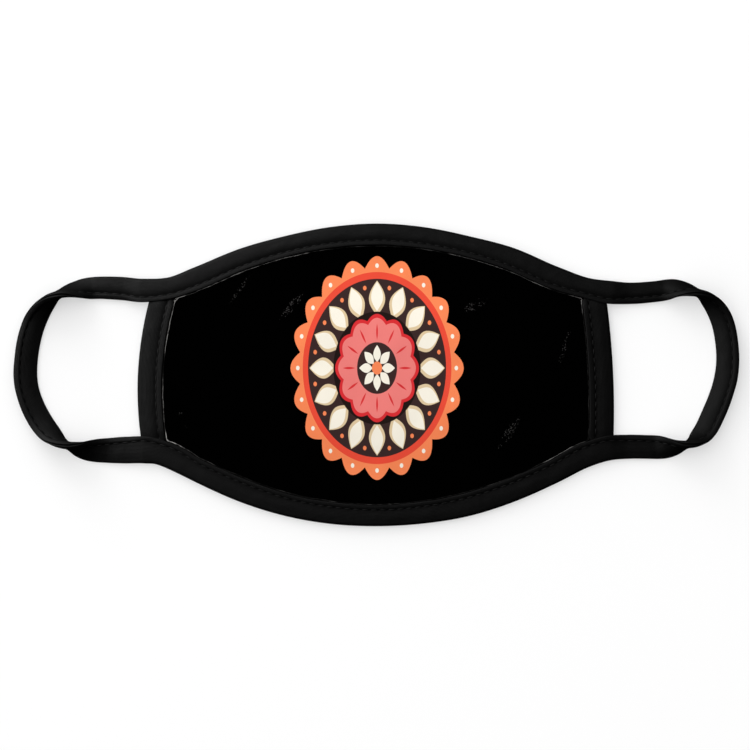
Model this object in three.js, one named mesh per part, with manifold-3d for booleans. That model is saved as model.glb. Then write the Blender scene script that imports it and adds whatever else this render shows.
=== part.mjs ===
// A sewn cloth face mask with two ear loops, lying flat on its back with the printed front up.
// Units are millimetres. +X is to the right of the front, +Y is towards the nose edge, and +Z
// comes out of the front. The origin is on the surface it lies on, under the middle of the mask.
//
// It is made of five sewn pieces: a front panel, a lining behind it with a pocket between them,
// a folded tape over each short side, and one long folded tape. That long tape binds the nose
// edge, leaves the corner as an ear loop, turns over twice, binds the chin edge and goes round
// the other ear loop back to where it began.
import * as THREE from "three";
import { mergeVertices } from "three/addons/utils/BufferGeometryUtils.js";
import Module from "manifold-3d";

const wasm = await Module();
wasm.setup();

// Driving dimensions of the whole mask
const NOSE_Y = 55.4; // top of the cut panels, inside the long tape
const CHIN_Y = -55.7; // bottom of the cut panels
const NOSE_CURVE = 0.0035; // the panels' nose edge falls by this times x squared
const CHIN_CURVE = 0.0036; // their chin edge rises by this times x squared

// Cloth and tape
const CLOTH = 0.45; // one layer of panel cloth
const TAPE_WALL = 0.55; // one side of the folded tape, its hem included
const CLEAR = 0.3; // between pieces that lie on each other
const SLOT = 2 * CLOTH + 3 * CLEAR; // room inside a tape that binds both panels
const BOUND_TAPE = SLOT + 2 * TAPE_WALL; // thickness of the tape where it binds the panels
const LOOP_TAPE = 2.2; // thickness of the same tape where it is stitched shut on itself
const TURNING = 1.5; // it is thicker by up to this where it stands on its fold, half turned over
const SLOT_DEPTH = 6; // how far the panels reach into the long tape
const SIDE_SLOT_DEPTH = 6.6; // and into the side tapes
const SEAM_NOTCH = { height: 0.4, depth: 0.8 }; // the closed lips of the tape on an ear loop
const TAPE_EDGE = 0.35; // roundness of a tape's edges
const SIDE_WIDTH = 9.5; // width of the tapes on the short sides

// How the panels lie
const SIDE_INSET = 1.4; // the panels' edge is this far outside the middle of a side tape
const POCKET_CROWN = 2.6; // how far the front stands up in the middle
const HEM = 7; // strip along the panels' edge that the tapes hold level
const CROWN_REACH = 36; // from the hem to where the front has its full height
const SETTLE_REACH = 9; // from the hem to where the lining lies on the surface

// The middle of each side tape is a parabola: x = apex.x + bow * (y - apex.y)^2
const LEFT_SIDE = { x: -88.2, y: -6, bow: 0.0039 };
const RIGHT_SIDE = { x: 87.6, y: -14, bow: -0.0016 };
const SIDE_REACH = 38; // a side tape is made from -SIDE_REACH to SIDE_REACH and trimmed

// One point of the long tape's route: its middle in x and y, its width, and how far it is
// turned about its own length. At 0 it lies flat with its stitched edge towards the middle
// of the loop, at 90 it stands on its fold, and past 90 it lies over on its other face.
const at = (x, y, width, turn, bound) => ({ x, y, width, turn, bound });

// Along the nose edge, from right to left
const NOSE_EDGE = [
  at(69, 37.7, 8.9, 0, 1),
  at(51.8, 45.1, 8.8, 0, 1),
  at(34.5, 50, 8.1, 0, 1),
  at(17.3, 53.3, 8.3, 0, 1),
  at(0, 54.5, 8.4, 0, 1),
  at(-17.3, 53.3, 8.2, 0, 1),
  at(-34.5, 50, 8, 0, 1),
  at(-51.8, 44.9, 8.5, 0, 1),
  at(-69, 37.7, 8.8, 0, 1),
];

// Round the left ear loop to the chin edge
const LEFT_LOOP = [
  at(-80, 33.7, 8.4, 0, 1),
  at(-91, 32.7, 9.1, 0, 1),
  at(-99, 33.4, 9.1, 0, 0),
  at(-108, 33.7, 8.7, 0, 0),
  at(-115.9, 33.1, 8.5, 37, 0),
  at(-122.2, 31.6, 8.8, 78, 0),
  at(-127.6, 27.7, 9.1, 122, 0),
  at(-132.9, 20, 9.4, 153, 0),
  at(-136, 7, 9.5, 156, 0),
  at(-136, -4.5, 9.6, 156, 0),
  at(-132.3, -14.9, 9.5, 157, 0),
  at(-127, -22.5, 9.6, 142, 0),
  at(-120.9, -27.1, 9.2, 95, 0),
  at(-114, -29.3, 9.4, 43, 0),
  at(-105, -29.6, 9.6, 7, 0),
  at(-98, -29.4, 10.4, 0, 0),
  at(-90, -29.3, 10.6, 0, 1),
  at(-84.5, -30.2, 9.8, 0, 1),
  at(-78.5, -32.5, 9.8, 0, 1),
];

// Along the chin edge, from left to right
const CHIN_EDGE = [
  at(-69, -37.6, 8.9, 0, 1),
  at(-51.8, -45.2, 9.1, 0, 1),
  at(-34.5, -50.8, 8.7, 0, 1),
  at(-17.3, -53.9, 8.5, 0, 1),
  at(0, -54.9, 8.2, 0, 1),
  at(17.3, -53.8, 8.5, 0, 1),
  at(34.5, -50.8, 9, 0, 1),
  at(51.8, -45.3, 9.1, 0, 1),
  at(69, -37.7, 9.1, 0, 1),
];

// Round the right ear loop back to the nose edge
const RIGHT_LOOP = [
  at(80, -31.9, 9.6, 0, 1),
  at(90, -28.7, 9.6, 0, 1),
  at(98, -28.1, 9.4, 0, 0),
  at(106, -28.2, 9.2, 0, 0),
  at(113.5, -28.4, 9.1, 32, 0),
  at(119.9, -27.4, 8.8, 82, 0),
  at(126.2, -23.5, 9.5, 140, 0),
  at(131.3, -14.5, 9.5, 157, 0),
  at(135.6, -2, 9.5, 156, 0),
  at(136.4, 8.5, 9.3, 156, 0),
  at(134.2, 21, 9.3, 153, 0),
  at(130, 27.8, 9, 132, 0),
  at(124.2, 31.9, 8.8, 83, 0),
  at(117.3, 33.4, 8.5, 41, 0),
  at(109, 32.3, 8.2, 0, 0),
  at(99, 31.6, 8.3, 0, 0),
  at(91, 31.9, 9, 0, 1),
  at(81, 33.8, 8, 0, 1),
];

// The whole route, counter-clockwise seen from the front, and closed.
const ROUTE = [...NOSE_EDGE, ...LEFT_LOOP, ...CHIN_EDGE, ...RIGHT_LOOP];

// The outline of a folded tape in its own plane: u runs from the fold to the stitched edge,
// v through its thickness. The slot opens at the stitched edge.
function tapeOutline(width, thickness, slotHeight, slotDepth) {
  const u = width / 2;
  const v = thickness / 2;
  const mouth = slotHeight / 2;
  const end = Math.min(mouth, 0.25 * thickness);
  const nose = Math.max(v - TAPE_EDGE, mouth + 0.12);
  return [
    [-u, -v + 2 * TAPE_EDGE],
    [-u + 2 * TAPE_EDGE, -v],
    [u - TAPE_EDGE, -v],
    [u, -nose],
    [u, -mouth],
    [u - slotDepth, -end],
    [u - slotDepth, end],
    [u, mouth],
    [u, nose],
    [u - TAPE_EDGE, v],
    [-u + 2 * TAPE_EDGE, v],
    [-u, v - 2 * TAPE_EDGE],
  ];
}

// The ring of points that an outline makes across a route that runs along `along`, turned by
// `turn` degrees, with its lowest point at height `rest`, or centred on `rest` if it is turned.
function placeOutline(outline, x, y, along, turn, rest) {
  const angle = THREE.MathUtils.degToRad(turn);
  const level = new THREE.Vector3(-along.y, along.x, 0);
  const lift = new THREE.Vector3(0, 0, 1);
  const across = level
    .clone()
    .multiplyScalar(Math.cos(angle))
    .addScaledVector(lift, Math.sin(angle));
  const face = along.clone().cross(across);
  const ring = outline.map(([u, v]) =>
    new THREE.Vector3(x, y, 0).addScaledVector(across, u).addScaledVector(face, v),
  );
  const lowest = Math.min(...ring.map((p) => p.z));
  ring.forEach((p) => (p.z += rest - lowest));
  return ring;
}

// A tube through rings of points. A closed one joins its last ring to its first, and an open
// one is capped with its outline.
function skin(rings, outline, closed) {
  const n = outline.length;
  const positions = rings.flat().flatMap((p) => [p.x, p.y, p.z]);
  const index = [];
  const last = closed ? rings.length : rings.length - 1;
  for (let i = 0; i < last; i++) {
    const a = i * n;
    const b = ((i + 1) % rings.length) * n;
    for (let j = 0; j < n; j++) {
      const k = (j + 1) % n;
      index.push(a + j, a + k, b + k, a + j, b + k, b + j);
    }
  }
  if (!closed) {
    const flat = outline.map(([u, v]) => new THREE.Vector2(u, v));
    const end = (rings.length - 1) * n;
    for (const [p, q, r] of THREE.ShapeUtils.triangulateShape(flat, [])) {
      index.push(r, q, p, end + p, end + q, end + r);
    }
  }
  const geometry = new THREE.BufferGeometry();
  geometry.setAttribute("position", new THREE.Float32BufferAttribute(positions, 3));
  geometry.setIndex(index);
  return geometry;
}

// The stations of the route: points of a smooth curve, with the tape's width, turn and binding
// carried evenly from one route point to the next.
function routeStations() {
  const curve = new THREE.CatmullRomCurve3(
    ROUTE.map((p) => new THREE.Vector3(p.x, p.y, 0)),
    true,
    "centripetal",
  );
  const STEPS = 3; // stations from one route point to the next
  const stations = [];
  ROUTE.forEach((from, i) => {
    const to = ROUTE[(i + 1) % ROUTE.length];
    for (let k = 0; k < STEPS; k++) {
      const share = k / STEPS;
      const t = (i + share) / ROUTE.length;
      const mix = (name) => THREE.MathUtils.lerp(from[name], to[name], share);
      stations.push({
        place: curve.getPoint(t),
        along: curve.getTangent(t),
        width: mix("width"),
        turn: mix("turn"),
        bound: THREE.MathUtils.smoothstep(mix("bound"), 0, 1),
      });
    }
  });
  return stations;
}

// The long tape, with a slot for the panels where it binds them.
function longTape(stations) {
  let outline;
  const rings = stations.map((s) => {
    const { lerp } = THREE.MathUtils;
    const upright = Math.sin(THREE.MathUtils.degToRad(s.turn));
    outline = tapeOutline(
      s.width,
      lerp(LOOP_TAPE, BOUND_TAPE, s.bound) + TURNING * upright ** 4,
      lerp(SEAM_NOTCH.height, SLOT, s.bound),
      lerp(SEAM_NOTCH.depth, SLOT_DEPTH, s.bound),
    );
    return placeOutline(outline, s.place.x, s.place.y, s.along, s.turn, 0);
  });
  return skin(rings, outline, true);
}

// A tall wall over the stretch of the long tape that crosses the ends of the side tapes, a
// little wider than the tape. The side tapes are trimmed with it.
function trimmingWall(stations, sign) {
  const TALL = 10;
  const crossing = stations.filter(
    (s) => s.turn === 0 && s.place.y * sign > 0 && Math.abs(s.place.x) < 112,
  );
  crossing.sort((a, b) => (b.place.x - a.place.x) * sign);
  let outline;
  const rings = crossing.map((s) => {
    const u = s.width / 2 + CLEAR;
    outline = [
      [-u, -TALL],
      [u, -TALL],
      [u, TALL],
      [-u, TALL],
    ];
    return placeOutline(outline, s.place.x, s.place.y, s.along, 0, -TALL);
  });
  return skin(rings, outline, false);
}

const sideX = (side, y) => side.x + side.bow * (y - side.y) ** 2;

// A side tape: its slot opens towards the middle of the mask.
function sideTape(side, walls) {
  const STEPS = 12;
  const outline = tapeOutline(SIDE_WIDTH, BOUND_TAPE, SLOT, SIDE_SLOT_DEPTH);
  const down = side.x < 0 ? -1 : 1; // the route's own direction, so that +u points inwards
  const rings = [];
  for (let i = 0; i <= STEPS; i++) {
    const y = down * THREE.MathUtils.lerp(-SIDE_REACH, SIDE_REACH, i / STEPS);
    const slope = 2 * side.bow * (y - side.y);
    const along = new THREE.Vector3(slope * down, down, 0).normalize();
    rings.push(placeOutline(outline, sideX(side, y), y, along, 0, 0));
  }
  let solid = asSolid(skin(rings, outline, false));
  for (const wall of walls) solid = solid.subtract(asSolid(wall));
  const whole = solid.decompose().reduce((a, b) => (a.volume() > b.volume() ? a : b));
  return asGeometry(whole);
}

function asSolid(geometry) {
  const merged = mergeVertices(geometry);
  return new wasm.Manifold(
    new wasm.Mesh({
      numProp: 3,
      vertProperties: merged.attributes.position.array,
      triVerts: new Uint32Array(merged.index.array),
    }),
  );
}

function asGeometry(solid) {
  const mesh = solid.getMesh();
  const geometry = new THREE.BufferGeometry();
  geometry.setAttribute("position", new THREE.BufferAttribute(mesh.vertProperties, 3));
  geometry.setIndex(new THREE.BufferAttribute(mesh.triVerts, 1));
  return geometry;
}

const noseY = (x) => NOSE_Y - NOSE_CURVE * x * x;
const chinY = (x) => CHIN_Y + CHIN_CURVE * x * x;
const leftX = (y) => sideX(LEFT_SIDE, y) - SIDE_INSET;
const rightX = (y) => sideX(RIGHT_SIDE, y) + SIDE_INSET;

// Where the cut cloth has the point (a, b), each from -1 to 1 across and up. The sides bow
// with y and the nose and chin edges with x, so the two are worked out in turn.
function onPanel(a, b) {
  const PASSES = 6;
  let x = a * RIGHT_SIDE.x;
  let y = 0;
  for (let i = 0; i < PASSES; i++) {
    y = THREE.MathUtils.lerp(chinY(x), noseY(x), (b + 1) / 2);
    x = THREE.MathUtils.lerp(leftX(y), rightX(y), (a + 1) / 2);
  }
  return new THREE.Vector2(x, y);
}

// 0 on the hem, rising to 1 at `reach` from it.
function fromHem(a, b, x, reach) {
  const acrossRoom = (1 - Math.abs(a)) * RIGHT_SIDE.x;
  const upRoom = ((1 - Math.abs(b)) * (noseY(x) - chinY(x))) / 2;
  const rise = (room) => THREE.MathUtils.smoothstep(room, HEM, HEM + reach);
  return rise(acrossRoom) * rise(upRoom);
}

// A layer of cloth over the cut panel, whose underside has the height that `under` gives.
function clothLayer(columns, rows, under) {
  const positions = [];
  const index = [];
  const point = (i, j, side) => (i * (rows + 1) + j) * 2 + side;
  for (let i = 0; i <= columns; i++) {
    for (let j = 0; j <= rows; j++) {
      const a = (2 * i) / columns - 1;
      const b = (2 * j) / rows - 1;
      const { x, y } = onPanel(a, b);
      const z = under(a, b, x);
      positions.push(x, y, z, x, y, z + CLOTH);
    }
  }
  const quad = (a, b, c, d) => index.push(a, b, c, a, c, d);
  for (let i = 0; i < columns; i++) {
    for (let j = 0; j < rows; j++) {
      quad(point(i, j, 1), point(i + 1, j, 1), point(i + 1, j + 1, 1), point(i, j + 1, 1));
      quad(point(i, j, 0), point(i, j + 1, 0), point(i + 1, j + 1, 0), point(i + 1, j, 0));
    }
    quad(point(i, 0, 0), point(i + 1, 0, 0), point(i + 1, 0, 1), point(i, 0, 1));
    quad(point(i + 1, rows, 0), point(i, rows, 0), point(i, rows, 1), point(i + 1, rows, 1));
  }
  for (let j = 0; j < rows; j++) {
    quad(point(0, j + 1, 0), point(0, j, 0), point(0, j, 1), point(0, j + 1, 1));
    quad(point(columns, j, 0), point(columns, j + 1, 0), point(columns, j + 1, 1), point(columns, j, 1));
  }
  const geometry = new THREE.BufferGeometry();
  geometry.setAttribute("position", new THREE.Float32BufferAttribute(positions, 3));
  geometry.setIndex(index);
  return geometry;
}

const LINING_HEM_Z = TAPE_WALL + CLEAR;
const FRONT_HEM_Z = LINING_HEM_Z + CLOTH + CLEAR;
const liningUnder = (a, b, x) => LINING_HEM_Z * (1 - fromHem(a, b, x, SETTLE_REACH));
const frontUnder = (a, b, x) => FRONT_HEM_Z + POCKET_CROWN * fromHem(a, b, x, CROWN_REACH);

const cloth = (colour, roughness) =>
  new THREE.MeshStandardMaterial({ color: colour, roughness, metalness: 0 });
const printedCloth = cloth(0x060606, 0.9);
const liningCloth = cloth(0x121212, 0.95);
const tapeCloth = cloth(0x1b1b1b, 0.85);

const stations = routeStations();
const walls = [trimmingWall(stations, 1), trimmingWall(stations, -1)];

const mask = new THREE.Group();
const add = (name, geometry, material) => {
  geometry.computeVertexNormals();
  const mesh = new THREE.Mesh(geometry, material);
  mesh.name = name;
  mask.add(mesh);
};
add("front_panel", clothLayer(24, 14, frontUnder), printedCloth);
add("lining", clothLayer(24, 14, liningUnder), liningCloth);
add("left_side_binding", sideTape(LEFT_SIDE, walls), tapeCloth);
add("right_side_binding", sideTape(RIGHT_SIDE, walls), tapeCloth);
add("edge_binding_and_ear_loops", longTape(stations), tapeCloth);

export default mask;
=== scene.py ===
# %% [markdown]
# # A cloth face mask, laid flat
# This lesson dresses a plain model of a sewn mask. The plain model already holds every piece at
# its real size, so each piece made here goes where its own plain piece is and takes its place.
# The real mask is a front and a lining, a folded tape over each short side, and one long folded
# tape that binds the rest of the edge and goes on as the two ear loops.

# %% The plain model
import math
from bisect import bisect_right
from collections import namedtuple

import bpy
import numpy
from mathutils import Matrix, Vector, noise
from mathutils.kdtree import KDTree


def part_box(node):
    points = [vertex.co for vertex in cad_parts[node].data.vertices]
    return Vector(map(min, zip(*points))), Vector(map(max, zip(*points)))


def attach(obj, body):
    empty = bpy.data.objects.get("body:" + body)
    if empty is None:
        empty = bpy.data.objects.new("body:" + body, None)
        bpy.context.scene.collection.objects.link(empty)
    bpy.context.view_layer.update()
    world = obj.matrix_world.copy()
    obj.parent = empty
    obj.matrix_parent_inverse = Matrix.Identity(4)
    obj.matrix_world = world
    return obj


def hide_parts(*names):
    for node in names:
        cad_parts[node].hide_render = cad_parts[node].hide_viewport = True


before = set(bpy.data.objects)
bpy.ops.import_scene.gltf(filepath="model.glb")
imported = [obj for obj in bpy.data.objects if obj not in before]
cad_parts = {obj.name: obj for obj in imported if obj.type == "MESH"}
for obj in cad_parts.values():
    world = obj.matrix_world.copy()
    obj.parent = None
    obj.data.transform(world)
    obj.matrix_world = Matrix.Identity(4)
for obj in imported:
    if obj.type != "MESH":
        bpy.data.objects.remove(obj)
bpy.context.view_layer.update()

MM = 0.001
print("plain pieces:", ", ".join(sorted(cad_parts)))

# %% [markdown]
# ## The camera
# The photograph looks straight down on the mask from far away. A long lens a good way off does
# the same, so the twisted tape, which stands 9 mm high, isn't pushed outwards in the picture. An
# orthographic camera would show no perspective at all, but a lens keeps the little that there is.

# %% The camera
PICTURE_WIDTH = 291.9 * MM  # what the square picture spans on the table
PICTURE_MIDDLE = Vector((-0.6 * MM, -0.2 * MM, 0))
LENS, SENSOR = 200, 36  # millimetres


def add_camera():
    height = PICTURE_WIDTH * LENS / SENSOR
    bpy.ops.object.camera_add(location=PICTURE_MIDDLE + Vector((0, 0, height)))
    camera = bpy.context.object
    camera.data.lens = LENS
    camera.data.sensor_width = SENSOR
    camera.data.clip_end = 10 * height
    bpy.context.scene.camera = camera
    print(f"camera {height:.2f} m above the table")


add_camera()

# %% [markdown]
# ## Sums with nodes
# The light of the sky and the colour of a cloth are both formulas over a place or a direction,
# and each step of a formula is a Math node. The nodes could be placed and joined one by one, as
# in the editor, but this small class makes them while the formula is written as a formula.

# %% Sums with nodes
def feed(tree, value, socket):
    """Puts a field or a plain number into a socket."""
    if isinstance(value, Field):
        tree.links.new(value.socket, socket)
    else:
        socket.default_value = value


class Field:
    """A number that varies from place to place."""

    def __init__(self, tree, socket):
        self.tree = tree
        self.socket = socket

    def do(self, operation, *others):
        node = self.tree.nodes.new("ShaderNodeMath")
        node.operation = operation
        for socket, value in zip(node.inputs, (self, *others)):
            feed(self.tree, value, socket)
        return Field(self.tree, node.outputs["Value"])

    def __add__(self, other):
        return self.do("ADD", other)

    def __sub__(self, other):
        return self.do("SUBTRACT", other)

    def __mul__(self, other):
        return self.do("MULTIPLY", other)

    def __truediv__(self, other):
        return self.do("DIVIDE", other)

    def __neg__(self):
        return self * -1

    def rise(self, low, high):
        """0 below low and 1 above high, with a smooth step between them."""
        node = self.tree.nodes.new("ShaderNodeMapRange")
        node.interpolation_type = "SMOOTHSTEP"
        for name, value in (("Value", self), ("From Min", low), ("From Max", high)):
            feed(self.tree, value, node.inputs[name])
        return Field(self.tree, node.outputs["Result"])

    def fall(self, low, high):
        return -self.rise(low, high) + 1


# %% [markdown]
# ## The table
# The mask lies on a white light table, which glows a little and so keeps the shadows pale. It
# could be a box with lamps under frosted glass, but a plane that gives light itself is enough. It
# isn't mirrored in the tape, so the sides of the tape that look down at it stay black.

# %% The table
TABLE_SIZE = 6  # metres
TABLE_WHITE, TABLE_GLOW = 0.48, 0.45  # what the table reflects, and what it gives by itself


def plain_material(name, colour, roughness):
    material = bpy.data.materials.new(name)
    material.use_nodes = True
    shader = material.node_tree.nodes["Principled BSDF"]
    shader.inputs["Base Color"].default_value = (*colour, 1)
    shader.inputs["Roughness"].default_value = roughness
    return material


def add_table():
    bpy.ops.mesh.primitive_plane_add(size=TABLE_SIZE)
    table = bpy.context.object
    table.name = "table"
    white = plain_material("white_table", (TABLE_WHITE, TABLE_WHITE, TABLE_WHITE), 0.9)
    shader = white.node_tree.nodes["Principled BSDF"]
    shader.inputs["Specular IOR Level"].default_value = 0
    shader.inputs["Emission Color"].default_value = (1, 1, 1, 1)
    shader.inputs["Emission Strength"].default_value = TABLE_GLOW
    table.data.materials.append(white)
    table.visible_glossy = False
    print("a table of", TABLE_SIZE, "by", TABLE_SIZE, "m")


add_table()

# %% [markdown]
# ## The light
# Soft light comes from the whole sky, brighter at the upper left, as near a window, and one lamp
# on the same side makes the shadows a little firmer. Lamps alone could do it too, but each of
# them adds an edge to the shadows, and a sky adds none. Two small lamps close by are only there
# for the gleams on the black tape, so their light doesn't reach anything that is matt.

# %% The light
SKY = 1.03
SKY_SLOPE = 1  # how much brighter it is low at the upper left, as a share
HORIZON = 0.02  # how far below and above its edge the sky fades in
WINDOW = Vector((-0.7, 0.714, 0))  # the side on which it is brighter
LAMP_PLACE, LAMP_SIZE, LAMP_POWER = Vector((-0.6, 1, 0.36)), 0.6, 7.5
GLEAM_SIZE = 0.12
GLEAMS = {  # places and powers of the lamps that only make gleams
    "gleam": (Vector((-0.25, 0.2, 0.25)), 9.3),
    "low_gleam": (Vector((-0.36, 0.21, 0.09)), 7.5),
}


def add_lamp(name, place, size, power):
    bpy.ops.object.light_add(type="AREA", location=place)
    lamp = bpy.context.object
    lamp.name = name
    lamp.data.size = size
    lamp.data.energy = power
    lamp.rotation_euler = (-place).to_track_quat("-Z", "Y").to_euler()
    lamp.visible_camera = False
    return lamp


def add_sky():
    world = bpy.data.worlds.new("sky")
    bpy.context.scene.world = world
    world.use_nodes = True
    tree = world.node_tree
    toward = tree.nodes.new("ShaderNodeVectorMath")
    toward.operation = "DOT_PRODUCT"
    toward.inputs[1].default_value = WINDOW
    direction = tree.nodes.new("ShaderNodeTexCoord").outputs["Generated"]
    tree.links.new(direction, toward.inputs[0])
    parts = tree.nodes.new("ShaderNodeSeparateXYZ")
    tree.links.new(direction, parts.inputs["Vector"])
    above = Field(tree, parts.outputs["Z"]).rise(-HORIZON, HORIZON)
    strength = (Field(tree, toward.outputs["Value"]) * SKY_SLOPE + 1) * above * SKY
    feed(tree, strength, tree.nodes["Background"].inputs["Strength"])
    tree.nodes["Background"].inputs["Color"].default_value = (1, 1, 1, 1)


def add_light():
    add_sky()
    add_lamp("lamp", LAMP_PLACE, LAMP_SIZE, LAMP_POWER)
    for name, (place, power) in GLEAMS.items():
        add_lamp(name, place, GLEAM_SIZE, power).visible_diffuse = False
    bpy.context.scene.view_settings.view_transform = "Standard"
    print("sky of", SKY, "and a lamp", round(LAMP_PLACE.length, 2), "m away")


add_light()

# %% [markdown]
# ## The stops of the long tape
# On the real mask one tape is folded lengthwise over the edge of the cloth and stitched. At a
# corner it leaves the cloth, and there it turns over about its own length, so that along the
# outer arc of an ear loop the stitched edge is outside and stands a little higher. The way could
# be drawn by hand as a curve, but a list of stops can be read and changed: the middle of the
# tape, its width, its turn in degrees, and whether it holds the cloth there (1) or is stitched
# shut on itself (0). Where the last two are left out, the tape lies flat and holds the cloth.
# The list goes round the mask from the right end of the nose edge.

# %% The stops of the long tape
Stop = namedtuple("Stop", "x y width turn bound", defaults=(0, 1))

NOSE_EDGE = [
    Stop(69, 37.7, 8.9),
    Stop(51.8, 45.1, 8.8),
    Stop(34.5, 50, 8.1),
    Stop(17.3, 53.3, 8.3),
    Stop(0, 54.5, 8.4),
    Stop(-17.3, 53.3, 8.2),
    Stop(-34.5, 50, 8),
    Stop(-51.8, 44.9, 8.5),
    Stop(-69, 37.7, 8.8),
]
LEFT_LOOP = [
    Stop(-80, 33.7, 8.4),
    Stop(-91, 32.7, 9.1),
    Stop(-99, 33.4, 9.1, 0, 0),
    Stop(-108, 33.7, 8.7, 0, 0),
    Stop(-115.9, 33.1, 8.5, 37, 0),
    Stop(-122.2, 31.6, 8.8, 78, 0),
    Stop(-127.6, 27.7, 9.1, 122, 0),
    Stop(-132.9, 20, 9.4, 153, 0),
    Stop(-136, 7, 9.5, 156, 0),
    Stop(-136, -4.5, 9.6, 156, 0),
    Stop(-132.3, -14.9, 9.5, 157, 0),
    Stop(-127, -22.5, 9.6, 142, 0),
    Stop(-120.9, -27.1, 9.2, 95, 0),
    Stop(-114, -29.3, 9.4, 43, 0),
    Stop(-105, -29.6, 9.6, 7, 0),
    Stop(-98, -29.4, 10.4, 0, 0),
    Stop(-90, -29.3, 10.6),
    Stop(-84.5, -30.2, 9.8),
    Stop(-78.5, -32.5, 9.8),
]
CHIN_EDGE = [
    Stop(-69, -37.6, 8.9),
    Stop(-51.8, -45.2, 9.1),
    Stop(-34.5, -50.8, 8.7),
    Stop(-17.3, -53.9, 8.5),
    Stop(0, -54.9, 8.2),
    Stop(17.3, -53.8, 8.5),
    Stop(34.5, -50.8, 9),
    Stop(51.8, -45.3, 9.1),
    Stop(69, -37.7, 9.1),
]
RIGHT_LOOP = [
    Stop(80, -31.9, 9.6),
    Stop(90, -28.7, 9.6),
    Stop(98, -28.1, 9.4, 0, 0),
    Stop(106, -28.2, 9.2, 0, 0),
    Stop(113.5, -28.4, 9.1, 32, 0),
    Stop(119.9, -27.4, 8.8, 82, 0),
    Stop(126.2, -23.5, 9.5, 140, 0),
    Stop(131.3, -14.5, 9.5, 157, 0),
    Stop(135.6, -2, 9.5, 156, 0),
    Stop(136.4, 8.5, 9.3, 156, 0),
    Stop(134.2, 21, 9.3, 153, 0),
    Stop(130, 27.8, 9, 132, 0),
    Stop(124.2, 31.9, 8.8, 83, 0),
    Stop(117.3, 33.4, 8.5, 41, 0),
    Stop(109, 32.3, 8.2, 0, 0),
    Stop(99, 31.6, 8.3, 0, 0),
    Stop(91, 31.9, 9),
    Stop(81, 33.8, 8),
]
ROUTE = [*NOSE_EDGE, *LEFT_LOOP, *CHIN_EDGE, *RIGHT_LOOP]
print(len(ROUTE), "stops")

# %% [markdown]
# ## The sizes of a folded tape
# Cut across, the tape is a C: it is rounded at the fold, and its two lips hold the cloth between
# them. Every thickness could be typed in, but most follow from that of one wall of tape and one
# layer of cloth, so a change to either of them goes through the whole mask.

# %% The sizes of a folded tape
TAPE_WALL = 0.55  # one side of the folded tape
CLOTH = 0.45  # one layer, the front or the lining
CLEAR = 0.3  # what is left between pieces that lie on each other
SLOT = 2 * CLOTH + 3 * CLEAR  # room between the lips for both layers
BOUND_TAPE = SLOT + 2 * TAPE_WALL  # thickness where the tape holds the cloth
LOOP_TAPE = 2.2  # and where it is stitched shut on itself
TURNING = 1.5  # how much thicker the tape is where it stands on its fold, half turned over
SLOT_DEPTH = 6
SLOT_END = 0.05  # the slant of the slot's bottom
FOLD_ROUND = 0.55  # how far in from the fold the tape is rounded, as a share of its thickness
SEAM_NOTCH = (0.16, 0.7)  # height and depth of the closed lips on an ear loop
LOOP_SEAM, EDGE_SEAM, SIDE_SEAM = 2.35, 1.9, 2.4  # from the stitched edge to the line of stitches
GROOVE_DEPTH, CLOSED_DEEPER = 0.14, 0.08  # the groove is deeper where the tape is stitched shut
LIP_SPREAD, FACE_SPREAD = 0.33, 0.7  # half of the groove's width, on either side of the stitches
FACE_FALL, STITCH_FALL, FOLD_FALL = 0.15, 0.27, 0.42  # how far these are below the full thickness
OPEN_FALL, CLOSED_FALL = 0.05, 0.75  # the same for the rims of the lips, with cloth in them or none
LEAST_WALL = 0.2  # what the stitches leave of the wall's thickness
SLOT_STEPS = (0.6, 0.48, 0.38, 0.28, 0.15)  # where the slot has points, as shares of its depth
LIP_STEPS, FOLD_STEPS = 4, 5
RIDGE_STEPS, GROOVE_STEPS, FACE_STEPS = 4, 7, 7

# Where the tape's middle is, how it is turned, and its section there: s is the distance along
# the tape, mouth and depth are its slot's, and seam is where its stitches are.
Station = namedtuple("Station", "s x y z turn width thick mouth depth seam")
print(f"{BOUND_TAPE:.1f} mm thick where it holds the cloth, and {LOOP_TAPE} mm on the ear loops")

# %% [markdown]
# ## The face of the tape
# A line of stitches near the lips pulls both walls in, so there is a groove with a small ridge
# beside it, and the wide rest of the tape stands up a little like a cushion. The groove could be
# pressed into a finished tape, but the tape's width changes all along, and a height worked out
# from the distance to the stitches changes with it.

# %% The face of the tape
def beside_seam(d, seam, lip_spread, face_spread):
    """1 on the line of stitches, falling to 0 on either side of it."""
    spread = lip_spread if d < seam else face_spread
    return math.exp(-(((d - seam) / spread) ** 2))


def groove(d, seam):
    return beside_seam(d, seam, LIP_SPREAD, FACE_SPREAD)


def opened(mouth):
    """1 where the lips hold the cloth between them, 0 where they are stitched shut."""
    return (mouth - SEAM_NOTCH[0]) / (SLOT - SEAM_NOTCH[0])


def rim_fall(mouth):
    return CLOSED_FALL + (OPEN_FALL - CLOSED_FALL) * opened(mouth)


def face_height(d, spot):
    """Height of a tape's upper face over its middle plane, d from the stitched edge."""
    if d < spot.seam:
        share = d / spot.seam
        fall = rim_fall(spot.mouth) * (1 - share) ** 2 + STITCH_FALL * share**2
    else:
        share = min(1, (d - spot.seam) / (spot.width - FOLD_ROUND * spot.thick - spot.seam))
        up = math.sin(math.pi * share)
        down = STITCH_FALL if share < 0.5 else FOLD_FALL
        fall = FACE_FALL + (down - FACE_FALL) * (1 - up ** (2 if share < 0.5 else 1))
    depth = GROOVE_DEPTH + CLOSED_DEEPER * (1 - opened(spot.mouth))
    return spot.thick / 2 - fall - depth * groove(d, spot.seam)


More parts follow.
